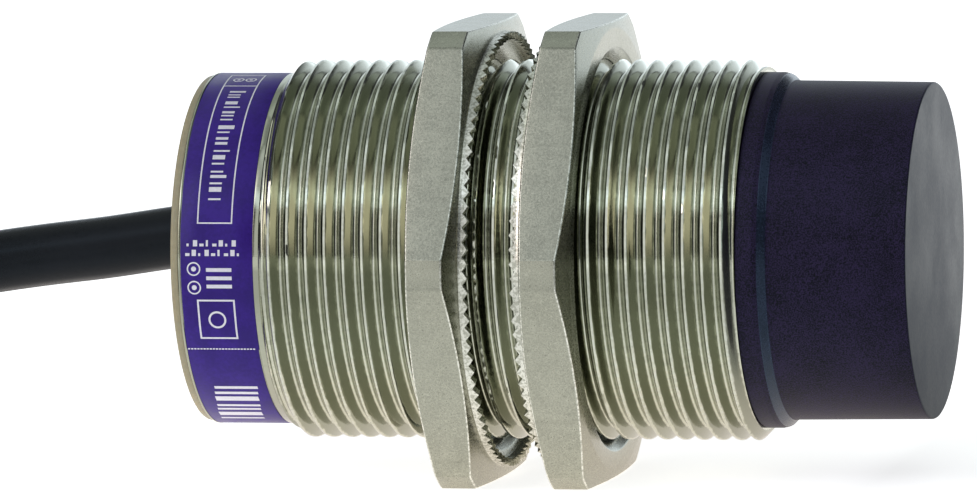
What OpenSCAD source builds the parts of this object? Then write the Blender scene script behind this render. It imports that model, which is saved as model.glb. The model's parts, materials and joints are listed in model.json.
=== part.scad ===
// Cylindrical inductive proximity sensor, M30 x 1.5, with a free standing (non-flush) sensing head,
// two serrated hexagon nuts and a fixed three-wire cable.
//
// X runs along the sensor and +X points out of the sensing face. Z is up.
// The sensor lies on the bottom flats of its nuts, which touch z = 0.
// Stations along the sensor are given as distances from its rear end.

/* [Sensor body] */
// Overall length from the rear plug to the sensing face
sensor_len = 58.4; // [56:0.1:64]
// Major radius of the barrel thread
thread_r = 15; // [14.9:0.01:15]
// Thread pitch
pitch = 1.5; // [1:0.25:2]
// Depth of one thread groove
groove_depth = 0.92; // [0.6:0.02:0.94]
// Width of the flat on a thread crest
crest_w = 0.19; // [0.15:0.01:0.3]
// Station of the first full thread crest, in front of the label
thread_start = 8.1; // [7.9:0.1:8.2]
// Station of the barrel's front edge
barrel_front = 45.1; // [44:0.1:46]
// Radius of the plain rear end of the barrel
rear_r = 13.95; // [13.5:0.05:14.1]
// Radius of the barrel's bore
bore_r = 12.8; // [12.5:0.05:13]

/* [Sensing cap] */
// Radius of the cap at the sensing face
cap_face_r = 13.22; // [13:0.01:13.5]
// Radius of the cap behind its collar
cap_base_r = 13.35; // [13.2:0.05:13.6]
// Radius of the collar that seats on the barrel
collar_r = 14; // [13.9:0.05:14.3]
// Thickness of the sensing face
face_t = 1.4; // [1:0.1:2]
// Depth of the skirt inside the barrel
skirt_len = 11; // [8:0.5:14]

/* [Nuts] */
// Size across the flats
across_flats = 36; // [35.5:0.1:36]
// Radius that the hexagon's corners are turned down to
corner_r = 20.15; // [19.9:0.05:20.5]
// Thickness of a nut without its toothed ring
nut_t = 4.1; // [3.9:0.1:4.8]
// Angle of the chamfers on a nut's faces
chamfer = 13; // [10:1:20]
// Height of the plain wall under the teeth
ring_h = 0.38; // [0.2:0.02:0.5]
// Height of the locking teeth
tooth_h = 0.46; // [0.3:0.02:0.6]
// Number of locking teeth
tooth_count = 90; // [60:2:90]
// Inner and outer radius of the ring of teeth
tooth_ring = [16.6, 17.4];
// Radial clearance of a nut on the thread crests
nut_clearance = 0.05; // [0.03:0.01:0.08]
// Station of the rear nut's plain face
rear_nut_at = 19.75; // [19.2:0.05:20]
// Station of the front nut's plain face
front_nut_at = 32.85; // [32.6:0.05:34]

/* [Cable] */
// Outer diameter of the cable
cable_d = 5; // [4.8:0.05:5]
// Height of the cable above the sensor's axis where it leaves the plug
cable_rise = 1.3; // [0:0.1:1.4]
// Radius of one insulated core
core_r = 0.65; // [0.5:0.05:0.7]

/* [Circuit] */
// Width of the circuit board
board_w = 19; // [17:0.5:20]
// Thickness of the circuit board
board_t = 1; // [0.8:0.1:1.6]
// Stations of the board's rear and front edges
board_span = [14, 47];

/* [Cable hank] */
// Station, along X, of the centre of the hank's near bend
hank_near = -98; // [-99:0.5:-97]
// Length of the hank's straight runs
hank_run = 39; // [36:1:40]
// Inner and outer radius of the hank's bends
hank_r = [12.5, 22.8];
// Height of the wound cable
hank_h = 30; // [30:0.1:32]
// Thickness of the tie band
tie_t = 0.8; // [0.6:0.1:1]

/* [Hidden] */
$fn = 96;

axis_z = across_flats / 2;
rear_x = -sensor_len / 2;
board_z = axis_z;
board_top = board_z + board_t / 2;
board_under = board_z - board_t / 2;
plug_rim = 0.65;
plug_depth = 6;
label_t = 0.1;
label_front = 6.7;
core_back = sensor_len - face_t - 8.1;
crests = floor((barrel_front - 0.7 - thread_start) / pitch) + 1;
nut_bore_r = thread_r + nut_clearance;
stub_end = 9.6;
cable_z = axis_z + cable_rise;

// Route of the free cable from the plug down to the hank
cable_route = [[-29.2, 0, 19.3], [-38, -0.3, 18], [-48, -0.8, 16.7], [-60, -3.6, 14.2],
    [-74, -9.6, 9.2], [-88, -16.8, 4.8], [-98, -20.2, 3.5]];
// Route of the cable's last stretch, inside the hank
tail_route = [[-111, -12.9, 3.6], [-116, -11, 3.45], [-121.5, -8.4, 3.2], [-127, -5.4, 2.9]];
// Routes of the three bare-ended cores beyond the jacket
brown_end_route = [[-127, -4.6, 3.2], [-132.5, -0.9, 1.9], [-138, 3.2, 0.95], [-143, 7, 0.8]];
blue_end_route = [[-127, -6.2, 3.2], [-133, -4.6, 1.9], [-139.5, -3.9, 0.95], [-145, -3.8, 0.8]];
black_end_route = [[-127, -5.4, 2.1], [-132.5, -2.6, 1.3], [-139, -0.6, 0.8], [-145.6, 0.6, 0.8]];

// --- helpers -------------------------------------------------------------------------------

// Local Z becomes the sensor's axis, counted from the rear end
module on_axis() {
    translate([rear_x, 0, axis_z]) rotate([0, 90, 0]) children();
}

// Solid turned about the sensor's axis from [radius, station] points
module turned(outline) {
    on_axis() rotate_extrude() polygon(outline);
}

// Block whose low corner sits at a station along the sensor, a side offset and a height
module block(station, side, base, size) {
    translate([rear_x + station, side, base]) cube(size);
}

// Catmull-Rom point between b and c
function between(a, b, c, d, t) =
    0.5 * (2 * b + (c - a) * t + (2 * a - 5 * b + 4 * c - d) * t * t
    + (3 * b - a - 3 * c + d) * t * t * t);

// Route with its ends repeated outward, so that the curve reaches both ends
function with_ends(p) = concat([2 * p[0] - p[1]], p, [2 * p[len(p) - 1] - p[len(p) - 2]]);

// Smooth points along a route, with a number of steps to each leg
function smooth(p, steps) =
    let (q = with_ends(p))
    concat([for (i = [1 : len(p) - 1], k = [0 : steps - 1])
        between(q[i - 1], q[i], q[i + 1], q[i + 2], k / steps)], [p[len(p) - 1]]);

// Round tube along a smooth route
module tube_along(route, radius, sides, steps) {
    line = smooth(route, steps);
    last = len(line) - 1;
    rings = [for (i = [0 : last])
        let (t = i == 0 ? route[1] - route[0]
                : i == last ? route[len(route) - 1] - route[len(route) - 2]
                : line[i + 1] - line[i - 1],
            w = t / norm(t),
            u = cross([0, 0, 1], w) / norm(cross([0, 0, 1], w)),
            v = cross(w, u))
        for (k = [0 : sides - 1])
            line[i] + radius * (cos(360 * k / sides) * u + sin(360 * k / sides) * v)];
    walls = [for (i = [0 : last - 1], k = [0 : sides - 1])
        [i * sides + k, (i + 1) * sides + k, (i + 1) * sides + (k + 1) % sides,
            i * sides + (k + 1) % sides]];
    first_cap = [for (k = [0 : sides - 1]) k];
    last_cap = [for (k = [sides - 1 : -1 : 0]) last * sides + k];
    polyhedron(points = rings, faces = concat([first_cap], walls, [last_cap]), convexity = 6);
}

// Outline of the hank at a given bend radius
module hank_outline(radius) {
    translate([hank_near, 0]) circle(radius);
    translate([hank_near - hank_run, 0]) circle(radius);
    translate([hank_near - hank_run, -radius]) square([hank_run, 2 * radius]);
}

// --- metal housing -------------------------------------------------------------------------

// Outline of the threaded outside: 60 degree ridges with narrow flats, one to each pitch
function thread_outline() =
    let (half = crest_w / 2, foot = half + groove_depth * tan(30))
    [for (i = [0 : crests - 1])
        let (z = thread_start + pitch * i)
        each [[thread_r - groove_depth, z - foot], [thread_r, z - half], [thread_r, z + half],
            [thread_r - groove_depth, z + foot]]];

module barrel() {
    color("#a9a69b") turned(concat(
        [[bore_r, plug_rim], [rear_r - 0.15, plug_rim], [rear_r, plug_rim + 0.15],
            [rear_r, plug_rim + 0.35], [rear_r - label_t, plug_rim + 0.35],
            [rear_r - label_t, label_front], [rear_r, label_front], [rear_r, label_front + 0.45]],
        thread_outline(),
        [[thread_r - 0.6, barrel_front], [bore_r, barrel_front]]));
}

// Hexagon nut along local Z: plain face at 0, teeth pointing to +Z
module serrated_nut() {
    flat_r = tooth_ring[1] + 0.1;
    slope = tan(chamfer) * (corner_r - flat_r);
    tooth_w = 1.1;
    ring_top = nut_t + ring_h;
    union() {
        intersection() {
            rotate([0, 0, 30]) cylinder(h = nut_t, r = across_flats / sqrt(3), $fn = 6);
            rotate_extrude() polygon([[nut_bore_r, 0.85], [nut_bore_r + 0.85, 0], [flat_r, 0],
                [corner_r, slope], [corner_r, nut_t - slope], [flat_r, nut_t],
                [tooth_ring[1], nut_t], [tooth_ring[1], ring_top],
                [tooth_ring[0], ring_top], [tooth_ring[0], nut_t - 0.15],
                [nut_bore_r + 0.85, nut_t - 0.15], [nut_bore_r, nut_t - 1]]);
        }
        for (i = [0 : tooth_count - 1])
            rotate([0, 0, 360 * (i + 0.5) / tooth_count])
                translate([tooth_ring[0] + 0.02, 0, ring_top - 0.05])
                rotate([90, 0, 90])
                linear_extrude(tooth_ring[1] - tooth_ring[0] - 0.05)
                polygon([[-tooth_w / 2, 0], [tooth_w / 2, 0], [0, tooth_h + 0.05]]);
    }
}

module rear_nut() {
    color("#a39e90") on_axis() translate([0, 0, rear_nut_at]) serrated_nut();
}

module front_nut() {
    color("#a39e90") on_axis() translate([0, 0, front_nut_at]) mirror([0, 0, 1]) serrated_nut();
}

// --- sensing head --------------------------------------------------------------------------

module sensing_cap() {
    inside_r = bore_r - 0.8;
    color("#1d2029") turned([[0, sensor_len], [cap_face_r, sensor_len],
        [cap_base_r, barrel_front + 2.35], [cap_base_r + 0.1, barrel_front + 2.15],
        [collar_r - 0.14, barrel_front + 1.7], [collar_r, barrel_front + 1.35],
        [collar_r, barrel_front], [bore_r - 0.05, barrel_front],
        [bore_r - 0.05, barrel_front - skirt_len], [inside_r, barrel_front - skirt_len],
        [inside_r, sensor_len - face_t], [0, sensor_len - face_t]]);
}

module ferrite_core() {
    color("#3c3d40") difference() {
        turned([[2.7, core_back], [11.9, core_back], [11.9, core_back + 8.1],
            [10.4, core_back + 8.1], [10.4, core_back + 2.3], [5.2, core_back + 2.3],
            [5.2, core_back + 8.1], [2.7, core_back + 8.1]]);
        for (side = [-1, 1])
            translate([rear_x + core_back - 0.5, side * 7.8, board_top + 0.5])
                rotate([0, 90, 0]) cylinder(h = 3.3, r = 0.9, $fn = 24);
    }
}

module coil_bobbin() {
    z = core_back + 2.4;
    color("#d9d2bf") turned([[5.3, z], [10.2, z], [10.2, z + 0.5], [6, z + 0.5],
        [6, z + 5], [10.2, z + 5], [10.2, z + 5.5], [5.3, z + 5.5]]);
}

module coil_winding() {
    z = core_back + 2.9;
    color("#b5622d") turned([[6, z], [9.8, z], [9.8, z + 4.5], [6, z + 4.5]]);
}

// Two enamelled leads from the bobbin, through the core's back, to the board's front edge
module coil_leads() {
    color("#c06a30") for (side = [-1, 1])
        translate([rear_x + 43.5, side * 7.8, board_top + 0.3])
            rotate([0, 90, 0]) cylinder(h = core_back + 2.4 - 43.5, r = 0.3, $fn = 24);
}

// Soft pad between the core and the carrier
module core_pad() {
    color("#c9c9c4") difference() {
        turned([[0, core_back - 0.6], [11, core_back - 0.6], [11, core_back], [0, core_back]]);
        for (side = [-1, 1])
            translate([rear_x + core_back - 1, side * 7.8, board_top + 0.5])
                rotate([0, 90, 0]) cylinder(h = 1.5, r = 0.9, $fn = 24);
    }
}

// Moulded disc that holds the board by its front edge
module board_carrier() {
    back = core_back - 3.3;
    color("#33363b") difference() {
        union() {
            turned([[0, back], [11.9, back], [11.9, core_back - 0.6], [0, core_back - 0.6]]);
            for (side = [-1, 1])
                block(back - 4, side * 9.5 - 1, board_z - 2, [4.2, 2, 4]);
        }
        block(back - 5, -board_w / 2, board_under, [board_span[1] - back + 5, board_w, board_t]);
        for (side = [-1, 1])
            translate([rear_x + back - 1, side * 7.8, board_top + 0.5])
                rotate([0, 90, 0]) cylinder(h = 4, r = 0.9, $fn = 24);
    }
}

// --- electronics ---------------------------------------------------------------------------

module circuit_board() {
    color("#2f6b3c") block(board_span[0], -board_w / 2, board_under,
        [board_span[1] - board_span[0], board_w, board_t]);
}

// Chip body with a row of bent legs on both sides
module chip(station, side, size, legs, gauge) {
    block(station, side, board_top + 0.15, size);
    step = size[0] / legs;
    for (i = [0 : legs - 1], s = [0, 1])
        block(station + step * (i + 0.5) - gauge / 2, s == 0 ? side - 0.9 : side + size[1],
            board_top, [gauge, 0.9, 0.75]);
}

module control_ic() {
    color("#1f1f21") chip(34, -4.5, [5, 4, 1.6], 4, 0.45);
}

module output_transistor() {
    color("#26262a") union() {
        block(20, 2, board_top, [6.5, 3.5, 1.7]);
        block(21.75, 5.5, board_top, [3, 1.7, 0.6]);
        for (i = [0 : 2])
            block(20.6 + 2.3 * i, 0.4, board_top, [0.7, 1.6, 0.6]);
    }
}

module tantalum_capacitors() {
    color("#c08a2e") union() {
        block(27.6, 3.4, board_top, [7.3, 4.3, 2.9]);
        block(20, -7.8, board_top, [6, 3.2, 2.5]);
    }
}

module ceramic_capacitors() {
    color("#b99b6b") union() {
        for (i = [0 : 2]) block(28.5, -7.6 + 2.4 * i, board_top, [3.2, 1.6, 1.2]);
        block(40.6, 1.2, board_top, [3.2, 1.6, 1.2]);
    }
}

// Rows of small resistors on the underside
module chip_resistors() {
    color("#2b2b2d") for (i = [0 : 4], k = [0, 1])
        block(22 + 4 * i, -5.2 + 8.4 * k, board_under - 0.5, [2, 1.25, 0.5]);
}

module protection_diodes() {
    color("#232326") for (k = [0, 1])
        block(24 + 7 * k, -1.3, board_under - 2.2, [4.3, 2.6, 2.2]);
}

module sensitivity_trimmer() {
    color("#3a6ea8") union() {
        block(36, 3.4, board_top, [4, 4, 2]);
        translate([rear_x + 38, 5.4, board_top + 2]) cylinder(h = 0.5, r = 1.3, $fn = 32);
    }
}

// One lamp on each face of the board's rear edge, behind the translucent plug
module status_leds() {
    color("#e0a23a") for (up = [0, 1])
        translate([rear_x + board_span[0] + 1, -6.4, up == 1 ? board_top : board_under - 1.2])
            cube([3, 1.6, 1.2]);
}

// --- filling and rear end ------------------------------------------------------------------

// Resin cast around the electronics
module potting_compound() {
    skirt_back = barrel_front - skirt_len;
    front = core_back - 3.3;
    color("#4a4d50") difference() {
        turned([[0, plug_depth], [bore_r, plug_depth], [bore_r, skirt_back],
            [bore_r - 0.8, skirt_back], [bore_r - 0.8, front], [0, front]]);
        circuit_board();
        board_carrier();
        control_ic();
        output_transistor();
        tantalum_capacitors();
        ceramic_capacitors();
        chip_resistors();
        protection_diodes();
        sensitivity_trimmer();
        status_leds();
        coil_leads();
        cable_clamp();
        cable_stub();
        brown_wire();
        blue_wire();
        black_wire();
    }
}

// Translucent end plug with the cable hole and a groove for its seal
module rear_plug() {
    color("#e9dfb8") difference() {
        turned([[0, 0], [rear_r - 0.4, 0], [rear_r - 0.2, 0.2], [rear_r - 0.2, plug_rim],
            [bore_r, plug_rim], [bore_r, 2.6], [bore_r - 1, 2.6], [bore_r - 1, 4.2],
            [bore_r, 4.2], [bore_r, plug_depth], [0, plug_depth]]);
        translate([rear_x - 1, 0, cable_z]) rotate([0, 90, 0])
            cylinder(h = plug_depth + 2, d = cable_d);
    }
}

module plug_seal() {
    color("#202020") on_axis() translate([0, 0, 3.4])
        rotate_extrude() translate([bore_r - 0.5, 0]) circle(0.5, $fn = 32);
}

// Crimped ferrule that takes the pull on the cable
module cable_clamp() {
    color("#b8b4aa") translate([rear_x + plug_depth, 0, cable_z]) rotate([0, 90, 0])
        difference() {
            union() {
                cylinder(h = 0.8, r = 5);
                cylinder(h = 3, r = cable_d / 2 + 0.6);
            }
            translate([0, 0, -1]) cylinder(h = 5, d = cable_d);
        }
}

// Jacketed end of the cable inside the sensor
module cable_stub() {
    color("#18181a") translate([rear_x, 0, cable_z]) rotate([0, 90, 0])
        cylinder(h = stub_end, d = cable_d);
}

// Insulated core from the cable's end to its pad at the board's rear edge
module inner_wire(angle, pad_y) {
    start = [rear_x + stub_end, 1.3 * cos(angle), cable_z + 1.3 * sin(angle)];
    end = [rear_x + board_span[0] + 2.6, pad_y, board_top + core_r + 0.06];
    tube_along([start, start + [1.4, 0, 0], [end[0] - 2.4, pad_y, end[2]], end], core_r, 10, 4);
}

module brown_wire() {
    color("#6b3f22") inner_wire(10, 3.6);
}

module blue_wire() {
    color("#2c4fa3") inner_wire(170, -3.4);
}

module black_wire() {
    color("#151515") inner_wire(90, 0.1);
}

// Marking sleeve in the shallow recess of the barrel's rear end
module marking_label() {
    color("#3a4bb0") turned([[rear_r - label_t, plug_rim + 0.35], [rear_r, plug_rim + 0.35],
        [rear_r, label_front], [rear_r - label_t, label_front]]);
}

// --- free cable ----------------------------------------------------------------------------

module cable() {
    color("#161618") tube_along(cable_route, cable_d / 2, 10, 3);
}

// The wound length of cable, two turns wide
module cable_hank() {
    color("#161618") translate([0, 0, tie_t]) difference() {
        linear_extrude(hank_h) hank_outline(hank_r[1]);
        translate([0, 0, -1]) linear_extrude(hank_h + 2) hank_outline(hank_r[0]);
    }
}

// Flat band around the middle of the hank
module hank_tie() {
    w = 2 * (hank_r[1] + tie_t);
    color("#5b5d60") translate([hank_near - hank_run / 2 - 3, -w / 2, 0]) difference() {
        cube([6, w, hank_h + 2 * tie_t]);
        translate([-1, tie_t, tie_t]) cube([8, w - 2 * tie_t, hank_h]);
    }
}

module cable_tail() {
    color("#161618") tube_along(tail_route, cable_d / 2, 10, 3);
}

module brown_core_end() {
    color("#6b3f22") tube_along(brown_end_route, core_r, 8, 3);
}

module blue_core_end() {
    color("#2c4fa3") tube_along(blue_end_route, core_r, 8, 3);
}

module black_core_end() {
    color("#151515") tube_along(black_end_route, core_r, 8, 3);
}

barrel();
rear_nut();
front_nut();
sensing_cap();
ferrite_core();
coil_bobbin();
coil_winding();
coil_leads();
core_pad();
board_carrier();
circuit_board();
control_ic();
output_transistor();
tantalum_capacitors();
ceramic_capacitors();
chip_resistors();
protection_diodes();
sensitivity_trimmer();
status_leds();
potting_compound();
rear_plug();
plug_seal();
cable_clamp();
cable_stub();
brown_wire();
blue_wire();
black_wire();
marking_label();
cable();
cable_hank();
hank_tie();
cable_tail();
brown_core_end();
blue_core_end();
black_core_end();
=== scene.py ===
import json
import math

import bmesh
import bpy
import numpy as np
from mathutils import Matrix, Vector


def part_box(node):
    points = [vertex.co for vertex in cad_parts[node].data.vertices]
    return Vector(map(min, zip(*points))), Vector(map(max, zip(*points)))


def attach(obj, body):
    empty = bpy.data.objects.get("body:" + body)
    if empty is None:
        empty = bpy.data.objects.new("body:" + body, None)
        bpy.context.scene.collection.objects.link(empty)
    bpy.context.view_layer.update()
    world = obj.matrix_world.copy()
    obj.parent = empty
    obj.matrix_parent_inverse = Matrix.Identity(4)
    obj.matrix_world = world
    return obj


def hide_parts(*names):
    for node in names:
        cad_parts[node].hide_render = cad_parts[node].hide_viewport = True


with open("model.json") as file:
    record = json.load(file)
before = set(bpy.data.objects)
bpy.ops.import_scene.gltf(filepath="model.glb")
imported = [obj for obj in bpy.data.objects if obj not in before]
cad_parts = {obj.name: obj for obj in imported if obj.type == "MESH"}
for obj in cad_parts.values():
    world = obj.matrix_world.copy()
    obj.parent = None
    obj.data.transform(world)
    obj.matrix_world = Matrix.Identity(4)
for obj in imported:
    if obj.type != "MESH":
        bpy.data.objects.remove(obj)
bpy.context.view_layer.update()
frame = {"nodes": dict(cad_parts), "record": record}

MM = 0.001
TAU = 2 * math.pi

# --- the frame's own numbers, in millimetres along and round the sensor's axis ------------------

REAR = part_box("rear_plug")[0].x
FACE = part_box("sensing_cap")[1].x
AXIS_Z = sum(c.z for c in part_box("rear_nut")) / 2


def station(x):
    """Distance from the sensor's rear end, in millimetres."""
    return (x - REAR) / MM


LENGTH = station(FACE)
BARREL_FRONT = station(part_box("barrel")[1].x)
LABEL_REAR = station(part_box("marking_label")[0].x) - 0.15
LABEL_FRONT = station(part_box("marking_label")[1].x)
REAR_NUT_BACK = station(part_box("rear_nut")[0].x)
FRONT_NUT_FACE = station(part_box("front_nut")[1].x)

# radii of the thread, of the barrel's plain rear end with the sleeve's seat in it, and of the sleeve
CREST_R, ROOT_R = 15.0, 14.288
PLAIN_R, SEAT_R, BORE_R = 13.95, 13.85, 12.8
SLEEVE_R = (13.86, 13.93)
PLUG_FRONT = 0.65
CABLE_R = 2.5


def spot(r, s, phi):
    """Points at a radius, a station and an angle from +Z by way of -Y."""
    r, s, phi = np.broadcast_arrays(*(np.asarray(a, float) for a in (r, s, phi)))
    return np.stack([REAR + s * MM, -r * np.sin(phi) * MM, AXIS_Z + r * np.cos(phi) * MM], -1)


# --- camera -------------------------------------------------------------------------------------

CAMERA_ANGLES = (12.7, 5.8, -1.07)  # azimuth from -Y towards +X, elevation and roll, in degrees
CAMERA_AWAY, CAMERA_LENS = 0.8, 373.0  # metres from the sensor, and millimetres
CAMERA_SHIFT = (-6.53, 0.045)  # millimetres to the right of the sensor's middle, and above it


def make_camera():
    """Long lens in front of the sensor, a little to its right and above it."""
    az, el, roll = (math.radians(a) for a in CAMERA_ANGLES)
    back = Vector((math.sin(az) * math.cos(el), -math.cos(az) * math.cos(el), math.sin(el)))
    right = Vector((math.cos(az), math.sin(az), 0))
    up = back.cross(right)
    r = right * math.cos(roll) + up * math.sin(roll)
    u = up * math.cos(roll) - right * math.sin(roll)
    middle = Vector(((REAR + FACE) / 2, 0, AXIS_Z))
    middle += right * (CAMERA_SHIFT[0] * MM) + up * (CAMERA_SHIFT[1] * MM)
    cam = bpy.data.objects.new("camera", bpy.data.cameras.new("camera"))
    bpy.context.scene.collection.objects.link(cam)
    cam.data.sensor_width = 36
    cam.data.lens = CAMERA_LENS
    cam.data.clip_start, cam.data.clip_end = 0.05, 40
    place = Matrix.Translation(middle + back * CAMERA_AWAY)
    cam.matrix_world = place @ Matrix((r, u, back)).transposed().to_4x4()
    bpy.context.scene.camera = cam


make_camera()

# --- materials ----------------------------------------------------------------------------------


class Nodes:
    """Short way to write a node tree."""

    def __init__(self, tree):
        self.tree = tree
        tree.nodes.clear()

    def add(self, kind, settings=None, **inputs):
        node = self.tree.nodes.new(kind)
        for k, v in (settings or {}).items():
            setattr(node, k, v)
        for k, v in inputs.items():
            self.put(node, k.replace("_", " "), v)
        return node

    def put(self, node, name, value):
        socket = node.inputs[int(name)] if name.isdigit() else node.inputs[name]
        if isinstance(value, bpy.types.NodeSocket):
            self.tree.links.new(value, socket)
        else:
            socket.default_value = value

    def math(self, op, a, b=0.0):
        node = self.tree.nodes.new("ShaderNodeMath")
        node.operation = op
        self.put(node, "0", a)
        self.put(node, "1", b)
        return node.outputs[0]

    def between(self, value, a, b, lo=0.0, hi=1.0):
        """Smooth step of a value: lo at a, hi at b."""
        node = self.tree.nodes.new("ShaderNodeMapRange")
        node.interpolation_type = "SMOOTHSTEP"
        for k, v in zip(("Value", "From Min", "From Max", "To Min", "To Max"), (value, a, b, lo, hi)):
            self.put(node, k, v)
        return node.outputs[0]

    def mix(self, share, a, b):
        """Colour a turned into colour b by a share."""
        node = self.tree.nodes.new("ShaderNodeMix")
        node.data_type = "RGBA"
        self.put(node, "0", share)
        for i, v in ((6, a), (7, b)):
            if isinstance(v, bpy.types.NodeSocket):
                self.tree.links.new(v, node.inputs[i])
            else:
                node.inputs[i].default_value = (*v, 1)
        return node.outputs[2]

    def noise(self, where, scale, detail=3.0, rough=0.55, stretch=None):
        if stretch:
            where = self.add("ShaderNodeMapping", Vector=where, Scale=stretch).outputs[0]
        node = self.add("ShaderNodeTexNoise", Vector=where, Scale=scale, Detail=detail, Roughness=rough)
        return node.outputs["Fac"]

    def vector_math(self, op, a, b):
        """Vector node of a socket and a constant."""
        node = self.tree.nodes.new("ShaderNodeVectorMath")
        node.operation = op
        self.tree.links.new(a, node.inputs[0])
        if b is not None:
            node.inputs[1].default_value = b
        return node.outputs["Value" if op == "LENGTH" else "Vector"]


def scaled(colour, k):
    """Colour made lighter or darker by a factor."""
    return tuple(min(1.0, c * k) for c in colour)


def finish(name, colour, rough, metal=0.0, spread=0.08, grain=2500.0, bump=0.15, deep=0.00002,
           stain=120.0, speck=0.0, rough_spread=0.06, stretch=None, extra=None, fine_share=0.4, **fixed):
    """Procedural finish: broad stains, fine grain and specks in the colour, uneven roughness, fine relief.

    extra adds to the colour; fixed sets the shader's own inputs.
    """
    mat = bpy.data.materials.new(name)
    mat.use_nodes = True
    mat.diffuse_color = (*colour, 1)
    n = Nodes(mat.node_tree)
    out = n.add("ShaderNodeOutputMaterial")
    shader = n.add("ShaderNodeBsdfPrincipled", Metallic=metal)
    where = n.add("ShaderNodeTexCoord").outputs["Object"]
    broad = n.noise(where, stain, 3, 0.6)
    fine = n.noise(where, grain, 2, 0.6, stretch)
    tone = n.math("ADD", n.math("MULTIPLY", broad, 1 - fine_share), n.math("MULTIPLY", fine, fine_share))
    paint = n.mix(n.between(tone, 0.36, 0.64), scaled(colour, 1 - spread), scaled(colour, 1 + spread))
    if speck:
        dots = n.noise(where, grain * 0.45, 1, 0.5)
        paint = n.mix(n.between(dots, 0.66, 0.74, 0, speck), paint, scaled(colour, 0.45))
        paint = n.mix(n.between(dots, 0.34, 0.26, 0, speck), paint, scaled(colour, 1.5))
    if extra:
        paint = extra(n, where, paint)
    n.put(shader, "Base Color", paint)
    n.put(shader, "Roughness", n.between(tone, 0.3, 0.7, rough - rough_spread, rough + rough_spread))
    if bump:
        relief = n.add("ShaderNodeBump", Strength=bump, Distance=deep, Height=fine)
        n.put(shader, "Normal", relief.outputs[0])
    for k, v in fixed.items():
        n.put(shader, k.replace("_", " "), v)
    n.tree.links.new(shader.outputs[0], out.inputs[0])
    return mat


def weave(n, where, paint):
    """Crossed threads of a woven band."""
    bands = []
    for turn in (0, math.pi / 2):
        turned = n.add("ShaderNodeMapping", Vector=where, Rotation=(0, 0, turn)).outputs[0]
        bands.append(n.add("ShaderNodeTexWave", Vector=turned, Scale=700.0, Distortion=0.6).outputs["Fac"])
    crossed = n.math("MULTIPLY", *bands)
    return n.mix(n.between(crossed, 0.0, 0.6), (0.03, 0.032, 0.035), paint)


def axis_distance(n, where):
    """Distance from the sensor's axis, in millimetres."""
    away = n.vector_math("SUBTRACT", where, (0, 0, AXIS_Z))
    flat = n.vector_math("MULTIPLY", away, (0, 1 / MM, 1 / MM))
    return n.vector_math("LENGTH", flat, None)


# thread nickel: a darker colour for painted shade in the grooves, and a lighter one for worn crests with a
# painted highlight
NICKEL, GROOVE_SHADE_NICKEL, CREST_WEAR_AND_GLINT_NICKEL = (0.57, 0.585, 0.48), (0.33, 0.345, 0.265), (0.66, 0.68, 0.6)
BLUISH = (0.72, 0.88, 1.0, 1.0)


def worn_thread(n, where, paint):
    """Nickel darkened on the thread's flanks and in its roots as painted shade of its grooves, and
    lightened on its crests, partly as wear and partly as a painted highlight.
    """
    r = axis_distance(n, where)
    wear = n.math("ADD", r, n.between(n.noise(where, 1400.0, 3, 0.6), 0.3, 0.7, -0.05, 0.05))
    flanks = n.math("MULTIPLY", n.between(wear, CREST_R - 0.9, CREST_R - 0.8),
                    n.between(wear, CREST_R - 0.03, CREST_R - 0.14))
    # painted shade in the grooves, where light bounces between the flanks
    groove_shade = n.math("MAXIMUM", flanks, n.between(r, CREST_R - 0.95, CREST_R - 1.02, 0, 0.7))
    paint = n.mix(groove_shade, paint, GROOVE_SHADE_NICKEL)
    flecks = n.between(n.noise(where, 3600.0, 1, 0.5), 0.4, 0.6, 0.2, 0.8)
    # crests painted bright: partly wear, partly a painted highlight
    crests = n.between(wear, CREST_R - 0.07, CREST_R - 0.02)
    return n.mix(n.math("MULTIPLY", crests, flecks), paint, CREST_WEAR_AND_GLINT_NICKEL)


def worn_nut(n, where, paint):
    """Faint streaks along the flats, and the rims and teeth painted bright, partly as wear and partly as a
    painted highlight.
    """
    streak = n.noise(where, 1100.0, 2, 0.6, (0.08, 1, 1))
    paint = n.mix(n.between(streak, 0.56, 0.74, 0, 0.2), paint, (0.27, 0.27, 0.22))
    wear = n.add("ShaderNodeAttribute", {"attribute_name": "wear"}).outputs["Fac"]
    flecks = n.between(n.noise(where, 4200.0, 1, 0.5), 0.38, 0.6, 0.25, 1.0)
    # rims and teeth painted bright: partly wear, partly a painted highlight
    return n.mix(n.math("MULTIPLY", wear, flecks), paint, (0.93, 0.93, 0.84))


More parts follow.
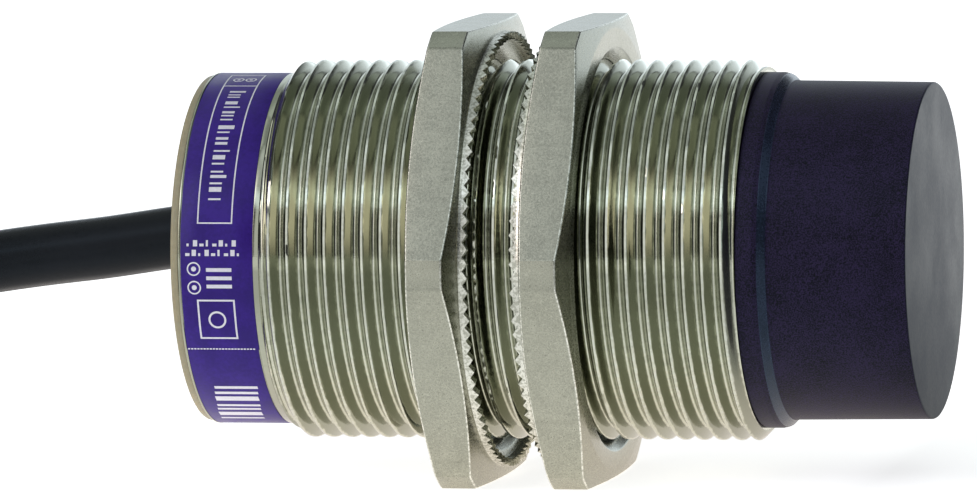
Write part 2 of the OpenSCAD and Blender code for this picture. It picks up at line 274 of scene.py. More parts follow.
MATERIALS = {
    "nickel": finish("nickel", NICKEL, 0.12, metal=1.0, spread=0.07, grain=5000, stretch=(0.25, 1, 1),
                     bump=0.2, deep=0.000008, speck=0.2, rough_spread=0.07, extra=worn_thread),
    "nut_nickel": finish("nut_nickel", (0.385, 0.388, 0.318), 0.27, metal=1.0, spread=0.13, grain=7000,
                         bump=0.45, deep=0.000016, stain=500, speck=0.35, rough_spread=0.07,
                         fine_share=0.75, extra=worn_nut),
    "cap_plastic": finish("cap_plastic", (0.0135, 0.0086, 0.029), 0.45, spread=0.9, grain=9000, bump=0.8,
                          deep=0.00003, stain=300, fine_share=0.8, Specular_IOR_Level=0.16,
                          Specular_Tint=BLUISH),
    # the shoulder's base colour is lighter and bluer than the cap's: a painted reflection
    "cap_shoulder_painted_sheen": finish("cap_shoulder_painted_sheen", (0.014, 0.0165, 0.036), 0.26, spread=0.5, grain=5200, bump=0.3,
                           deep=0.00002, Specular_IOR_Level=0.62, Specular_Tint=(0.45, 0.72, 1.0, 1.0)),
    "cap_face": finish("cap_face", (0.012, 0.012, 0.022), 0.42, spread=0.4, grain=4200, bump=0.5,
                       deep=0.00002, stain=160, Specular_IOR_Level=0.38,
                       Specular_Tint=(0.6, 0.85, 1.0, 1.0)),
    "label_blue": finish("label_blue", (0.037, 0.012, 0.208), 0.36, spread=0.16, grain=3500, bump=0.1,
                         stain=400, Specular_IOR_Level=0.22, Specular_Tint=BLUISH),
    "label_print": finish("label_print", (0.78, 0.78, 0.86), 0.45, spread=0.06, grain=5200, bump=0.1),
    "plug_translucent": finish("plug_translucent", (0.37, 0.335, 0.22), 0.45, spread=0.1, grain=2200,
                               bump=0.2, Subsurface_Weight=0.25, Subsurface_Scale=0.4,
                               Subsurface_Radius=(0.003, 0.002, 0.001)),
    "cable_jacket": finish("cable_jacket", (0.0045, 0.0045, 0.0062), 0.3, spread=0.3, grain=3000, bump=0.3,
                           deep=0.00003, stain=220, Specular_IOR_Level=0.2, Specular_Tint=BLUISH),
    "tie_grey": finish("tie_grey", (0.1, 0.105, 0.11), 0.85, spread=0.2, grain=2600, bump=0.8, deep=0.00015,
                       extra=weave, Sheen_Weight=0.3),
    "ferrite": finish("ferrite", (0.05, 0.05, 0.055), 0.7, spread=0.2, speck=0.4),
    "bobbin_plastic": finish("bobbin_plastic", (0.7, 0.65, 0.52), 0.5),
    "copper": finish("copper", (0.8, 0.34, 0.15), 0.3, metal=1.0, grain=6000, bump=0.4, spread=0.15),
    "pad_foam": finish("pad_foam", (0.5, 0.5, 0.48), 0.9, grain=1800, bump=0.9, deep=0.0001, speck=0.5),
    "carrier_plastic": finish("carrier_plastic", (0.07, 0.075, 0.08), 0.5, spread=0.2),
    "board_laminate": finish("board_laminate", (0.03, 0.16, 0.06), 0.35, spread=0.18, grain=1500),
    "chip_black": finish("chip_black", (0.025, 0.025, 0.028), 0.6, spread=0.25, grain=4500),
    "capacitor_ochre": finish("capacitor_ochre", (0.5, 0.27, 0.04), 0.45, spread=0.1),
    "ceramic_tan": finish("ceramic_tan", (0.42, 0.3, 0.17), 0.4, spread=0.12),
    "trimmer_blue": finish("trimmer_blue", (0.04, 0.13, 0.36), 0.3, spread=0.1),
    "lamp_amber": finish("lamp_amber", (0.75, 0.42, 0.06), 0.2, Transmission_Weight=0.3),
    "resin": finish("resin", (0.08, 0.085, 0.09), 0.35, spread=0.25, stain=400),
    "seal_rubber": finish("seal_rubber", (0.02, 0.02, 0.02), 0.6, spread=0.2),
    "clamp_metal": finish("clamp_metal", (0.62, 0.61, 0.56), 0.35, metal=1.0, spread=0.1),
    "wire_brown": finish("wire_brown", (0.13, 0.05, 0.02), 0.4, spread=0.12),
    "wire_blue": finish("wire_blue", (0.02, 0.07, 0.36), 0.4, spread=0.12),
    "wire_black": finish("wire_black", (0.015, 0.015, 0.016), 0.4, spread=0.2),
}


# --- mesh building ------------------------------------------------------------------------------


def add_mesh(name, verts, faces, slot, sharp=35.0, material=None, merge=1e-7, body="sensor"):
    """Mesh object with merged points, outward faces, smooth shading and sharp edges by angle.

    A face with a point twice, or one that is there already, is left out.
    """
    mesh = bpy.data.meshes.new(name)
    bm = bmesh.new()
    points = [bm.verts.new(v) for v in np.asarray(verts, float)]
    for f in faces:
        corners = [points[i] for i in f]
        if len(set(corners)) == len(corners):
            try:
                bm.faces.new(corners)
            except ValueError:
                pass
    if merge:
        bmesh.ops.remove_doubles(bm, verts=bm.verts, dist=merge)
        bmesh.ops.dissolve_degenerate(bm, edges=bm.edges, dist=merge)
    loose = [v for v in bm.verts if not v.link_faces]
    bmesh.ops.delete(bm, geom=loose, context="VERTS")
    bmesh.ops.recalc_face_normals(bm, faces=bm.faces)
    bm.to_mesh(mesh)
    bm.free()
    mesh.materials.append(MATERIALS[material or slot])
    for p in mesh.polygons:
        p.use_smooth = True
    mesh.set_sharp_from_angle(angle=math.radians(sharp))
    obj = bpy.data.objects.new(name, mesh)
    bpy.context.scene.collection.objects.link(obj)
    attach(obj, body)
    return obj


def ring_faces(rows, cols, wrap=True):
    """Quads of a grid whose columns go round; the rows wrap too if asked."""
    out = []
    for i in range(rows if wrap else rows - 1):
        for j in range(cols):
            a, b, k = i * cols, (i + 1) % rows * cols, (j + 1) % cols
            out.append((a + j, a + k, b + k, b + j))
    return out


def rounded(outline, steps=4):
    """Outline of (radius, station, fillet) points with its corners turned into arcs."""
    done = []
    for i, p in enumerate(outline):
        here = np.array(p[:2], float)
        fillet = p[2] if len(p) > 2 else 0
        if not fillet:
            done.append(here)
            continue
        a = np.array(outline[i - 1][:2], float) - here
        b = np.array(outline[(i + 1) % len(outline)][:2], float) - here
        la, lb = np.linalg.norm(a), np.linalg.norm(b)
        a, b = a / la, b / lb
        half = math.acos(max(-1, min(1, a @ b))) / 2
        reach = min(fillet / math.tan(half), la * 0.49, lb * 0.49)
        radius = reach * math.tan(half)
        middle = here + (a + b) / np.linalg.norm(a + b) * radius / math.sin(half)
        u, v = here + a * reach - middle, here + b * reach - middle
        for t in np.linspace(0, 1, steps + 1):
            w = u * (1 - t) + v * t
            done.append(middle + w / np.linalg.norm(w) * radius)
    return np.array(done)


def turned(name, outline, slot, steps=192, sharp=35.0, **more):
    """Solid turned about the sensor's axis from (radius, station[, fillet]) points in millimetres."""
    rows = rounded(outline)
    phi = np.arange(steps) * TAU / steps
    verts = np.concatenate([spot(r, s, phi) for r, s in rows])
    return add_mesh(name, verts, ring_faces(len(rows), steps), slot, sharp, **more)


# --- the free cable, first of the pieces --------------------------------------------------------

CORD_LENGTH, CABLE_EXIT = 2.0, (REAR, 0, 0.0193)  # metres
# the hank's racetrack, in millimetres: its near bend and straight run, the bends of its two columns, the
# height of a turn and that of the first turn's middle
NEAR_BEND, HANK_RUN = -98.0, 39.0
OUTER, INNER, LAYER, FIRST_TURN = 20.2, 15.1, 5.02, 3.32
CORE_R, STRAND_R, STRAND_LAY = 0.65, 0.135, 0.27  # a core, a strand of its wire, and strands apart
CABLE_ROUTE = [(-29.2, 0, 19.3), (-38, -0.3, 18), (-48, -0.8, 16.7), (-60, -3.6, 14.2),
               (-74, -9.6, 9.2), (-88, -17.4, 4.8), (-98, -20.2, 3.32)]
TAIL_ROUTE = [(-104.5, -14.7, 3.9), (-111, -12.9, 3.6), (-116, -11, 3.45), (-121.5, -8.4, 3.2),
              (-127, -5.4, 2.9)]
HANDLE_SHARE = 0.338  # of the gap between two points, which keeps a bend round


def leg(a, b, c, d, t):
    """Catmull-Rom point between b and c."""
    square = 2 * a - 5 * b + 4 * c - d
    cube = 3 * b - a - 3 * c + d
    return 0.5 * (2 * b + (c - a) * t + square * t * t + cube * t ** 3)


def along(points, steps, after=None):
    """Points on a smooth line through a route. after sets its direction at the end."""
    p = [np.array(q, float) for q in points]
    last = p[-1] * 2 - p[-2] if after is None else p[-2] + np.array(after) * 2
    p = [p[0] * 2 - p[1], *p, last]
    out = [leg(*p[i - 1:i + 3], k / steps) for i in range(1, len(p) - 2) for k in range(steps)]
    return out + [p[-2]]


def track(u, r):
    """Point and share of a turn on the hank's racetrack, u from 0 to 4: run, far bend, run, near bend."""
    far, part, t = NEAR_BEND - HANK_RUN, int(u), u - int(u)
    if part == 0:
        x, y = NEAR_BEND - HANK_RUN * t, -r
    elif part == 2:
        x, y = far + HANK_RUN * t, r
    else:
        psi = math.pi * (-0.5 - t if part == 1 else 0.5 - t)
        x, y = (far if part == 1 else NEAR_BEND) + r * math.cos(psi), r * math.sin(psi)
    lengths = [HANK_RUN, math.pi * r] * 2
    return x, y, (sum(lengths[:part]) + lengths[part] * t) / sum(lengths)


def hank_points():
    """Knots of the wound length and their directions.

    It goes five turns up the outer column, across to the inner one on its top run, and down again.
    """
    run, bend = [0, 1 / 3, 2 / 3], [k / 6 for k in range(6)]
    knots = [*run, *(1 + k for k in bend), *(2 + k for k in run), *(3 + k for k in bend)]
    top = 5
    begin = track(1, INNER)[2]
    out, ways = [], []
    for turn in range(2 * top):
        for u in knots:
            r = OUTER if turn < top else INNER
            crossing = turn == top and u < 1
            if crossing:
                x, y, _ = track(u, OUTER + (INNER - OUTER) * (u * u * (3 - 2 * u)))
                height, rise = top, 0.0
                across = (OUTER - INNER) * 6 * u * (1 - u) / HANK_RUN
            else:
                x, y, share = track(u, r)
                height = turn + share if turn < top else 2 * top + begin - turn - share
                rise = LAYER / (2 * HANK_RUN + TAU * r) * (1 if turn < top else -1)
                across = 0.0
            out.append(np.array((x, y, FIRST_TURN + LAYER * height)))
            part = int(u)
            psi = math.pi * ((-0.5 if part == 1 else 0.5) - u + part)
            round_bend = (math.sin(psi), -math.cos(psi))
            way = ((-1, across), round_bend, (1, 0), round_bend)[part]
            ways.append((*way, rise))
    return out, ways


def bezier(name, points, radius, slot, sides=5, ends=None):
    """Round piece along points in millimetres, as one open Bezier spline.

    ends gives the direction at some of the points; elsewhere it is that of the circle through three
    neighbours.
    """
    p = np.array(points, float) * MM
    t = np.gradient(p, axis=0)
    gap = np.linalg.norm(np.diff(p, axis=0), axis=1)
    for i in range(1, len(p) - 1):
        a, b = (p[i] - p[i - 1]) / gap[i - 1], (p[i + 1] - p[i]) / gap[i]
        t[i] = a * gap[i] + b * gap[i - 1]
    t[0] = 2 * (p[1] - p[0]) / gap[0] - t[1] / np.linalg.norm(t[1])
    t[-1] = 2 * (p[-1] - p[-2]) / gap[-1] - t[-2] / np.linalg.norm(t[-2])
    for i, way in (ends or {}).items():
        t[i] = way
    t /= np.linalg.norm(t, axis=1)[:, None]
    curve = bpy.data.curves.new(name, "CURVE")
    curve.dimensions, curve.resolution_u = "3D", 6
    curve.bevel_depth, curve.bevel_resolution = radius * MM, sides
    curve.use_fill_caps = True
    spline = curve.splines.new("BEZIER")
    spline.bezier_points.add(len(p) - 1)
    for i, q in enumerate(spline.bezier_points):
        q.handle_left_type = q.handle_right_type = "FREE"
        q.co = p[i]
        q.handle_left = p[i] - t[i] * (gap[i - 1] if i else gap[0]) * HANDLE_SHARE
        q.handle_right = p[i] + t[i] * (gap[i] if i < len(gap) else gap[-1]) * HANDLE_SHARE
    curve.materials.append(MATERIALS[slot])
    obj = bpy.data.objects.new(name, curve)
    bpy.context.scene.collection.objects.link(obj)
    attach(obj, "sensor")
    return obj


# the cores where they leave the jacket: colour, place in the cable, and route to the bare end
CORES = [
    ("brown", (0.6, 0.5, 0.3), [(-132.5, -0.9, 1.9), (-138, 3.2, 0.95), (-143, 7, 0.8)]),
    ("blue", (0.6, -1.1, 0.3), [(-133, -4.6, 1.9), (-139.5, -3.9, 0.95), (-145, -3.8, 0.8)]),
    ("black", (0.6, -0.3, -0.8), [(-132.5, -2.6, 1.3), (-139, -0.6, 0.8), (-145.6, 0.6, 0.8)]),
]


def make_cord():
    """The whole free cable, with the hank's tie and the three bare cores at its end."""
    lead = along(CABLE_ROUTE, 2, after=(-7, 0, 0.1))
    coil, ways = hank_points()
    tail = along([coil[-1], (-98, -15.1, 4.35), *TAIL_ROUTE], 1)[1:]
    line = [*lead[:-1], *coil, *tail]
    cable = bezier("cable_and_hank", line, CABLE_R, "cable_jacket",
                   ends={len(lead) - 1 + i: way for i, way in enumerate(ways[:-1])})
    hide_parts("cable", "cable_hank", "cable_tail")

    with_it = [make_tie()]
    for colour, place, route in CORES:
        path = along([np.array(tail[-1]) + np.array(place), *route], 4)
        cut = len(path) - 4
        core = bezier(f"{colour}_core", path[:cut + 1], CORE_R, f"wire_{colour}", sides=3)
        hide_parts(f"{colour}_core_end")
        with_it += [core, strands(f"{colour}_core_tip", path[cut:])]


def strands(name, path):
    """Bare twisted end of a core: seven wires, one in the middle."""
    line = np.array(path, float)
    steps = 24
    at = np.linspace(0, len(line) - 1, steps)
    mid = np.stack([np.interp(at, range(len(line)), line[:, k]) for k in range(3)], 1)
    way = np.gradient(mid, axis=0)
    way /= np.linalg.norm(way, axis=1)[:, None]
    u = np.cross(way, (0, 0, 1.0))
    u /= np.linalg.norm(u, axis=1)[:, None]
    v = np.cross(way, u)
    sides = 8
    verts, faces = [], []
    for w in range(7):
        off, turn = (0, 0) if w == 0 else (STRAND_LAY, w * TAU / 6)
        ang = turn + np.linspace(0, TAU * 0.9, steps)
        core = mid + off * (np.cos(ang)[:, None] * u + np.sin(ang)[:, None] * v)
        base = len(verts)
        for i in range(steps):
            for k in range(sides):
                a = k * TAU / sides
                verts.append((core[i] + STRAND_R * (math.cos(a) * u[i] + math.sin(a) * v[i])) * MM)
        faces += [tuple(base + q for q in f) for f in ring_faces(steps, sides, wrap=False)]
        faces += [tuple(range(base, base + sides)),
                  tuple(range(base + (steps - 1) * sides, base + steps * sides))]
    return add_mesh(name, verts, faces, "copper", sharp=60)


TIE_HALF, TIE_CORNER, TIE_THICK, TIE_EDGE = 22.95, 2.9, 0.8, 0.2
FLAP_LIFT = [0.0] + [0.02] * 14 + [0.05, 0.12, 0.25]  # the flap's free end stands a little off the band


def make_tie():
    """Woven band round the middle of the hank, with its end laid over itself on top."""
    x0, x1 = (c.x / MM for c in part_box("hank_tie"))
    r, t, e = TIE_CORNER, TIE_THICK, TIE_EDGE
    side = TIE_HALF - r
    top = FIRST_TURN + LAYER * 5 + CABLE_R + 0.05
    inner, ways = [], []
    for cy, cz, a0 in ((side, t + r, -90), (side, top - r, 0), (-side, top - r, 90), (-side, t + r, 180)):
        for k in range(9):
            a = math.radians(a0 + 90 * k / 8)
            inner.append(np.array((cy + r * math.cos(a), cz + r * math.sin(a))))
            ways.append(np.array((math.cos(a), math.sin(a))))
    section = [(x0 + e, 0), (x0, e), (x0, t - e), (x0 + e, t),
               (x1 - e, t), (x1, t - e), (x1, e), (x1 - e, 0)]
    n = len(section)
    verts = [(x * MM, *((p + q * h) * MM)) for p, q in zip(inner, ways) for x, h in section]
    band = add_mesh("hank_tie_band", verts, ring_faces(len(inner), n), "tie_grey", sharp=50)
    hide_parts("hank_tie")

    rows = len(FLAP_LIFT)
    ends = [(y, top + t + lift) for y, lift in zip(np.linspace(-9, 12, rows), FLAP_LIFT)]
    verts = [((x - 0.15) * MM, y * MM, (z + h * 0.9) * MM) for y, z in ends for x, h in section]
    faces = ring_faces(rows, n, wrap=False) + [tuple(range(n)), tuple(range((rows - 1) * n, rows * n))]
    flap = add_mesh("hank_tie_flap", verts, faces, "tie_grey", sharp=50)
    flap.parent, flap.matrix_parent_inverse = band, Matrix.Identity(4)
    flap.matrix_world = Matrix.Identity(4)
    return band


make_cord()

# --- barrel -------------------------------------------------------------------------------------

# one turn of the thread as (station past the crest's middle, radius): a flat crest, flanks at 30 degrees
# and a round root; PHASE is the station of a crest on top of the barrel
PITCH, PHASE, ROOT_ROUND = 1.5, 7.85, 0.21
ROOT = [(PITCH / 2 - ROOT_ROUND * math.sin(a), ROOT_R - ROOT_ROUND * math.cos(a))
        for a in np.radians(range(60, -61, -20))]
THREAD = [(-0.115, 14.967), (-0.085, CREST_R), (0.085, CREST_R), (0.115, 14.967), (0.25, 14.733),
          (0.42, 14.439), *ROOT, (1.08, 14.439), (1.25, 14.733)]
RUN_IN = 0.45  # plain strip between the label and the thread
EDGE_R = 14.38  # radius to which the front bevel goes down


def barrel_limit(s, start, stop):
    """Greatest radius at a station: a slope at the rear, and the 45 degree bevel at the front."""
    rear = PLAIN_R + (s - start) * 1.12
    return np.minimum(np.minimum(rear, EDGE_R + (stop - s)), CREST_R)


def make_barrel(steps=248):
    """Tube with a true helical thread, its crests slightly uneven."""
    start, stop = LABEL_FRONT + RUN_IN, BARREL_FRONT
    phi = np.arange(steps) * TAU / steps
    rng = np.random.default_rng(4)
    at, out = [], []
    first = math.floor((start - PHASE) / PITCH) - 2
    turns = math.ceil((stop - start) / PITCH) + 4
    for k in range(turns):
        for offset, r in THREAD:
            s = PHASE + PITCH * (first + k + phi / TAU) + offset
            burr = rng.normal(0, 0.011, steps).clip(-0.02, 0.0) if r > 14.9 else 0
            at.append(s)
            out.append(np.minimum(r + burr, barrel_limit(np.clip(s, start, stop), start, stop)))
    at, out = np.array(at), np.array(out)
    # where each line along the thread meets the barrel's front end
    last, i = (at >= stop).argmax(0), np.arange(steps)
    t = (stop - at[last - 1, i]) / (at[last, i] - at[last - 1, i])
    edge = out[last - 1, i] * (1 - t) + out[last, i] * t
    out = np.where(np.arange(len(at))[:, None] >= last, edge, out)
    at = np.clip(at, start, stop)
    jog = len(THREAD)
    verts = np.concatenate([spot(r, s, phi) for r, s in zip(out, at)])
    faces = []
    for m in range(len(at) - 1):
        for i in range(steps):
            j, over = (i + 1, 0) if i + 1 < steps else (0, jog)
            if m + 1 + over < len(at):
                faces.append((m * steps + i, (m + over) * steps + j, (m + 1 + over) * steps + j,
                              (m + 1) * steps + i))
    # the plain surfaces: front end, bore, rear edge, label recess and the strip before the thread
    plain = rounded([
        (14.0, stop), (BORE_R, stop), (BORE_R, PLUG_FRONT), (PLAIN_R, PLUG_FRONT, 0.12),
        (PLAIN_R, LABEL_REAR, 0.04), (SEAT_R, LABEL_REAR), (SEAT_R, LABEL_FRONT),
        (PLAIN_R, LABEL_FRONT, 0.05), (PLAIN_R, start)], 3)
    base = len(verts)
    verts = np.concatenate([verts, spot(edge, stop, phi), *(spot(r, s, phi) for r, s in plain)])
    faces += [tuple(base + q for q in f) for f in ring_faces(len(plain) + 1, steps, wrap=False)]
    barrel = add_mesh("barrel_threaded", verts, faces, "nickel", sharp=30, merge=2e-7)
    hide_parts("barrel")


make_barrel()

# --- nuts ---------------------------------------------------------------------------------------

TEETH, RING, TOOTH = 96, 0.38, 0.46  # teeth on a low ring on one face, and the heights of both
FLAT, CORNER, THICK = 18.0, 20.15, 4.1  # half the width across the flats, turned-down corner, thickness
CHAMFER_R, CHAMFER = 17.48, math.tan(math.radians(13))
RIM = 0.11  # width of the rounded rim between a face and the outside
CORNER_HALF = math.acos(FLAT / CORNER)  # from the middle of a flat to where its corner is turned down
# the rim's rounding as (share of RIM inwards, share of RIM down the chamfer, rise)
RIM_ROWS = [(1, 1, 0), (0.62, 0.55, 0.004), (0.27, 0, 0.028), (0.07, 0, 0.07), (0, 0, 0.13)]
CHAMFER_FOOT = 17.62


def nut_angles():
    """Four steps to a tooth, and close rows on both sides of each turned-down corner."""
    edge = math.degrees(CORNER_HALF)
    marks = set(np.round(np.arange(0, 360, 90 / TEETH), 4))
    for flat in range(0, 360, 60):
        for side in (-1, 1):
            for near in (-0.16, -0.05, 0.05, 0.16):
                marks.add(round((flat + side * (edge + near)) % 360, 4))
    return np.radians(sorted(marks))


def nut_outer(phi):
    """Hexagon with turned-down corners, and the fine burr line that the turning leaves on one side."""
    d = (phi + math.pi / 6) % (math.pi / 3) - math.pi / 6
    line = np.exp(-((d + CORNER_HALF) / math.radians(0.1)) ** 2) * 0.022
    return np.minimum(FLAT / np.cos(d), CORNER) - line


def tooth_tops(phi, seed):
    """Height of the toothed ring round the nut, each tooth a little worn."""
    height = TOOTH * (1 + np.random.default_rng(seed).uniform(-0.25, 0.0, TEETH))
    turn = (phi / TAU * TEETH) % TEETH
    saw = np.clip((1 - np.abs((turn % 1) - 0.5) * 2 - 0.06) / 0.86, 0, 1)
    return RING + saw * height[turn.astype(int)]


def make_nut(name, node, plain_at, way, body, seed):
    """Nut from its plain face, at a station, to its toothed face."""
    phi = nut_angles()
    outer = nut_outer(phi)
    slope = (outer - CHAMFER_R) * CHAMFER
    crown = THICK + tooth_tops(phi, seed)
    rows = [
        (15.06, 0.95), (15.06, 0.9), (15.1, 0.8), (15.85, 0.07), (15.93, 0.015), (16.02, 0), (16.8, 0),
        (17.38, 0), (17.48, 0.006), (CHAMFER_FOOT, 0.036),
    ]
    chamfer = [CHAMFER_FOOT + (outer - RIM - CHAMFER_FOOT) * t for t in (0.25, 0.5, 0.75)]
    rim = [(outer - RIM * inward, slope - RIM * down * CHAMFER + rise) for inward, down, rise in RIM_ROWS]
    rows += [(r, (r - CHAMFER_R) * CHAMFER) for r in chamfer]
    rows += rim
    rows += [(outer, THICK * t) for t in (0.4, 0.6)]
    rows += [(r, THICK - z) for r, z in reversed(rim)]
    rows += [(r, THICK - (r - CHAMFER_R) * CHAMFER) for r in reversed(chamfer)]
    rows += [
        (17.56, THICK - 0.02), (17.4, THICK), (17.27, THICK + 0.03), (17.24, THICK + 0.08),
        (17.22, THICK + RING * 0.8), (17.2, crown - 0.02), (17.17, crown), (16.9, crown), (16.66, crown),
        (16.6, crown - 0.05), (16.6, THICK), (16.57, THICK - 0.1), (16.45, THICK - 0.15),
        (15.98, THICK - 0.15), (15.88, THICK - 0.2), (15.1, THICK - 0.95), (15.06, THICK - 1.05),
    ]
    verts = np.concatenate([spot(r, plain_at + way * z, phi) for r, z in rows])
    nut = add_mesh(name, verts, ring_faces(len(rows), len(phi)), "nut_nickel", sharp=28, body=body)
    paint_wear(nut, plain_at, way, phi, outer)
    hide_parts(node)


def paint_wear(nut, plain_at, way, phi, outer):
    """Marks the nut's rims and its teeth for the material to paint bright, partly as wear and partly as a
    painted highlight.
    """
    wear_and_glint_attr = nut.data.attributes.new("wear", "FLOAT", "POINT")
    for v, value in zip(nut.data.vertices, wear_and_glint_attr.data):
        y, z = v.co.y, v.co.z - AXIS_Z
        r, depth = math.hypot(y, z) / MM, (station(v.co.x) - plain_at) * way
        chamfer = (r - CHAMFER_R) * CHAMFER
        on_chamfer = min(abs(depth - chamfer), abs(depth - THICK + chamfer)) < 0.1
        edge = np.interp(math.atan2(-y, z) % TAU, phi, outer, period=TAU)
        rim = on_chamfer and r > max(17.7, edge - 0.09)
        # 0.9 on the rims and 0.75 on the teeth: wear and a painted highlight
        value.value = 0.9 if rim else 0.75 if depth > THICK + 0.05 else 0.0


make_nut("rear_nut_machined", "rear_nut", REAR_NUT_BACK, 1, "rear_nut", 11)
make_nut("front_nut_machined", "front_nut", FRONT_NUT_FACE, -1, "front_nut", 12)

# --- sensing cap --------------------------------------------------------------------------------

CAP_R, COLLAR_R, SKIRT_R, CAP_INNER = 13.35, 14.0, 12.75, 12.0
SHOULDER = (1.75, 2.3)  # from the barrel's front to the shoulder's two edges
SKIRT, CAP_FACE = 11, 1.4  # depth of the skirt inside the barrel, and thickness of the sensing face


def make_cap():
    """Cap with a seating collar, a glossy shoulder painted lighter and bluer as a painted reflection, a
    dull sensing face and a skirt in the barrel.
    """
    f = BARREL_FRONT
    cap = turned("sensing_cap_moulded", [
        (0, LENGTH), (CAP_R - 0.13, LENGTH, 0.16), (CAP_R, f + SHOULDER[1], 0.5),
        (13.9, f + SHOULDER[0], 0.35), (COLLAR_R, f + 1.3, 0.25), (COLLAR_R, f + 0.02, 0.1),
        (SKIRT_R, f + 0.02), (SKIRT_R, f - SKIRT), (CAP_INNER, f - SKIRT), (CAP_INNER, LENGTH - CAP_FACE),
        (0, LENGTH - CAP_FACE)], "cap_plastic", sharp=40)
    for name in ("cap_shoulder_painted_sheen", "cap_face"):
        cap.data.materials.append(MATERIALS[name])
    for p in cap.data.polygons:
        r, s = math.hypot(p.center.y, p.center.z - AXIS_Z) / MM, station(p.center.x)
        # shoulder faces get the material with the painted reflection
        if f + SHOULDER[0] - 0.05 < s < f + SHOULDER[1] + 0.05 and r > 13:
            p.material_index = 1
        elif s > LENGTH - 0.03:
            p.material_index = 2
    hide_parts("sensing_cap")


make_cap()

# --- label --------------------------------------------------------------------------------------

SEAM, LAP = math.radians(90 + 29), 0.14  # where the sleeve's end lies, and how far it laps, in radians
LAP_RAMP, LAP_LIFT = 0.06, 0.06  # the lapped end rises over this angle by this height


def make_label():
    """Sleeve wrapped once round the barrel, its end lapped over its beginning at the seam."""
    steps = 240
    phi = np.linspace(SEAM - LAP, SEAM + TAU, steps)
    lift = np.clip((phi - (SEAM + TAU - LAP - LAP_RAMP)) / LAP_RAMP, 0, 1) * LAP_LIFT
    skew = -0.04 + 0.1 * np.linspace(0, 1, steps)
    rear, front = LABEL_REAR + 0.03 + skew * 0.3, LABEL_FRONT - 0.06 + skew
    under, over = (r + lift for r in SLEEVE_R)
    rows = [
        (under, rear), (over - 0.02, rear), (over, rear + 0.03), (over, rear + (front - rear) * 0.33),
        (over, rear + (front - rear) * 0.66), (over, front - 0.03), (over - 0.02, front), (under, front),
    ]
    verts = np.stack([spot(r, s, phi) for r, s in rows], 1).reshape(-1, 3)
    n = len(rows)
    faces = ring_faces(steps, n, wrap=False) + [tuple(range(n)), tuple(range((steps - 1) * n, steps * n))]
    label = add_mesh("marking_sleeve", verts, faces, "label_blue", sharp=40, merge=0)
    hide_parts("marking_label")


make_label()


def on_sleeve(depth, s, above):
    """Points on the sleeve's surface, on its lapped end too, at degrees above -Y."""
    phi = np.radians(90 - np.asarray(above, float))
    lapped = np.clip((phi - SEAM + LAP + LAP_RAMP) / LAP_RAMP, 0, 1) * LAP_LIFT * (phi <= SEAM)
    return list(spot(SLEEVE_R[1] + depth + lapped, s, phi))


DEPTHS = (-0.012, 0.017)  # the print's underside and top, from the sleeve's surface


def patch(outline, inner=None):
    """Thin raised print between two outlines, or a filled one, of (station, degrees above -Y) points."""
    out = np.array(outline, float)
    inn = np.repeat(out.mean(0)[None], len(out), 0) if inner is None else np.array(inner, float)
    n = len(out)
    verts, faces = [], []
    for depth in DEPTHS:
        for ring in (out, inn):
            verts += on_sleeve(depth, ring[:, 0], ring[:, 1])
    for i in range(n):
        j = (i + 1) % n
        faces += [(2 * n + i, 2 * n + j, 3 * n + j, 3 * n + i), (i, j, n + j, n + i),
                  (i, j, 2 * n + j, 2 * n + i)]
        if inner is not None:
            faces.append((n + i, n + j, 3 * n + j, 3 * n + i))
    return verts, faces


def bar(s0, s1, a0, a1):
    """Rectangle of print, cut finely enough round the sleeve to follow it."""
    k = max(2, int(abs(a1 - a0) / 1.5) + 1)
    up = [(s0, a) for a in np.linspace(a0, a1, k)]
    down = [(s1, a) for a in np.linspace(a1, a0, k)]
    verts, faces = [], []
    for depth in DEPTHS:
        for row in (up, down[::-1]):
            row = np.array(row)
            verts += on_sleeve(depth, row[:, 0], row[:, 1])
    for i in range(k - 1):
        faces += [(i, i + 1, k + i + 1, k + i), (2 * k + i, 2 * k + i + 1, 3 * k + i + 1, 3 * k + i),
                  (i, i + 1, 2 * k + i + 1, 2 * k + i), (k + i, k + i + 1, 3 * k + i + 1, 3 * k + i)]
    faces += [(0, k, 3 * k, 2 * k), (k - 1, 2 * k - 1, 4 * k - 1, 3 * k - 1)]
    return verts, faces


DEGREE = math.degrees(1 / PLAIN_R)  # degrees round the sleeve to a millimetre


def frame_of(s0, s1, a0, a1, line):
    """Rectangular frame of print of one line width."""
    deg = line * DEGREE
    return [bar(s0, s0 + line, a0, a1), bar(s1 - line, s1, a0, a1), bar(s0 + line, s1 - line, a0, a0 + deg),
            bar(s0 + line, s1 - line, a1 - deg, a1)]


def circle(s, a, r):
    """Outline of a circle of print about a station and an angle."""
    turn = np.arange(24) * TAU / 24
    return [(s + r * math.cos(t), a + r * math.sin(t) * DEGREE) for t in turn]


def ring_of(s, a, r, hole):
    """Ring of print."""
    return patch(circle(s, a, r), circle(s, a, hole))


def disc(s, a, r):
    """Dot of print."""
    return patch(circle(s, a, r))


# strokes in the long cell and below the seam, as widths and the gaps after them, in degrees
STROKES = [
    (1, 1.3), (0.6, 0.9), (0.6, 2.3), (1.6, 1.3), (0.6, 1.9), (1, 0.9), (0.6, 1.3), (0.6, 2.4), (1.6, 1.1),
    (0.6, 1.8), (1, 1.0), (1, 2.2), (0.6, 1.3), (1.6, 1.3), (0.6, 2.3), (0.6, 0.9), (1, 1.6), (0.6, 1.0),
    (1.6, 2.2), (0.6, 1),
]
LARGE_STROKES = [(-45.6, 1.3), (-48.6, 1.3), (-51.4, 2.6), (-56.6, 1.3), (-59.4, 1.3), (-62.8, 3.0),
                 (-68.4, 1.4)]


